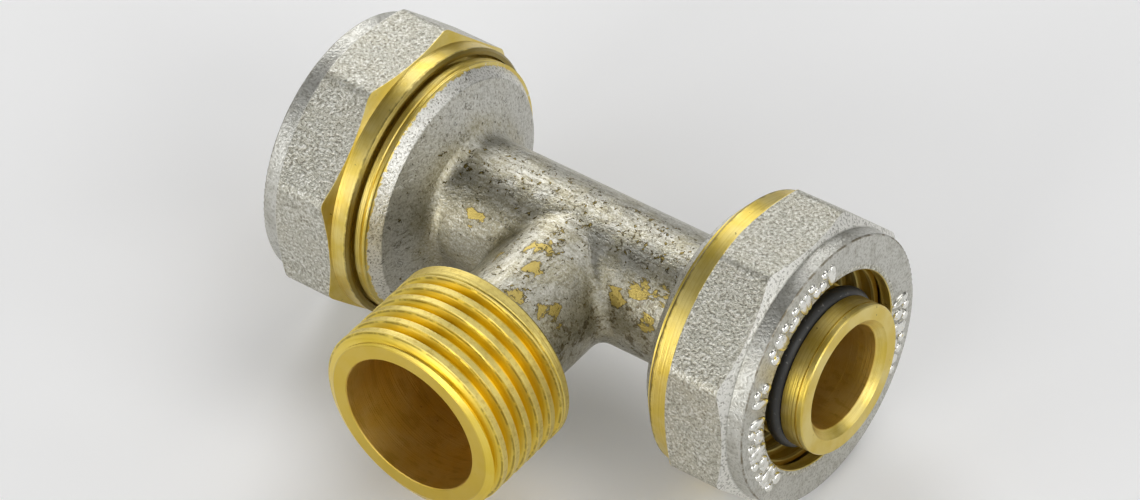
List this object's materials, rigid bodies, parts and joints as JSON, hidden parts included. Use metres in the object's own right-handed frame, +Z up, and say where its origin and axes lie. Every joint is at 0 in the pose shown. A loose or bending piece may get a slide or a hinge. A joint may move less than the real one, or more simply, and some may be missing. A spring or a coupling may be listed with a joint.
{
  "type": "compression tee fitting",
  "caption": "Nickel-plated brass tee: compression nuts with split rings and O-ring sealed nozzles on the run ends, and a male threaded branch.",
  "frame": {"origin": "the point where the run axis and the branch axis cross", "axes": "+X along the run, towards the right nut; the branch points along -Y; +Z is up, square to both axes"},
  "size_m": [0.062, 0.0429, 0.0294],
  "materials": {
    "nickel_plated_body": "nickel plating over forged brass, rubbed through in places; bare turned brass on threads and nozzles",
    "nickel_plated_nut": "sandblasted nickel plating, bare turned brass band and bore",
    "brass": "turned",
    "o_ring_rubber": "matte, moulded",
    "washer_plastic": "white insulating plastic"
  },
  "bodies": {
    "root": {"tee_body": "nickel_plated_body", "right_outer_o_ring": "o_ring_rubber", "left_outer_o_ring": "o_ring_rubber", "right_inner_o_ring": "o_ring_rubber", "left_inner_o_ring": "o_ring_rubber", "right_insulating_washer": "washer_plastic", "left_insulating_washer": "washer_plastic"},
    "right_ring": {"right_split_ring": "brass"},
    "right_nut_body": {"right_nut": "nickel_plated_nut"},
    "left_ring": {"left_split_ring": "brass"},
    "left_nut_body": {"left_nut": "nickel_plated_nut"}
  },
  "joints": [
    {"name": "right_nut_travel", "type": "slide", "parent": "root", "child": "right_ring", "axis": [1, 0, 0], "range_m": [-0.00031, 0.00451]},
    {"name": "right_nut_turn", "type": "hinge", "parent": "right_ring", "child": "right_nut_body", "pos_m": [0.023, 0, 0], "axis": [1, 0, 0], "range_deg": [-72, 1080]},
    {"name": "left_nut_travel", "type": "slide", "parent": "root", "child": "left_ring", "axis": [-1, 0, 0], "range_m": [-0.00121, 0.00451]},
    {"name": "left_nut_turn", "type": "hinge", "parent": "left_ring", "child": "left_nut_body", "pos_m": [-0.024, 0, 0], "axis": [-1, 0, 0], "range_deg": [-288, 1080]}
  ],
  "couplings": [
    {"joint": "right_nut_travel", "follows": "right_nut_turn", "m_per_rad": 0.00023873},
    {"joint": "left_nut_travel", "follows": "left_nut_turn", "m_per_rad": 0.00023873}
  ]
}
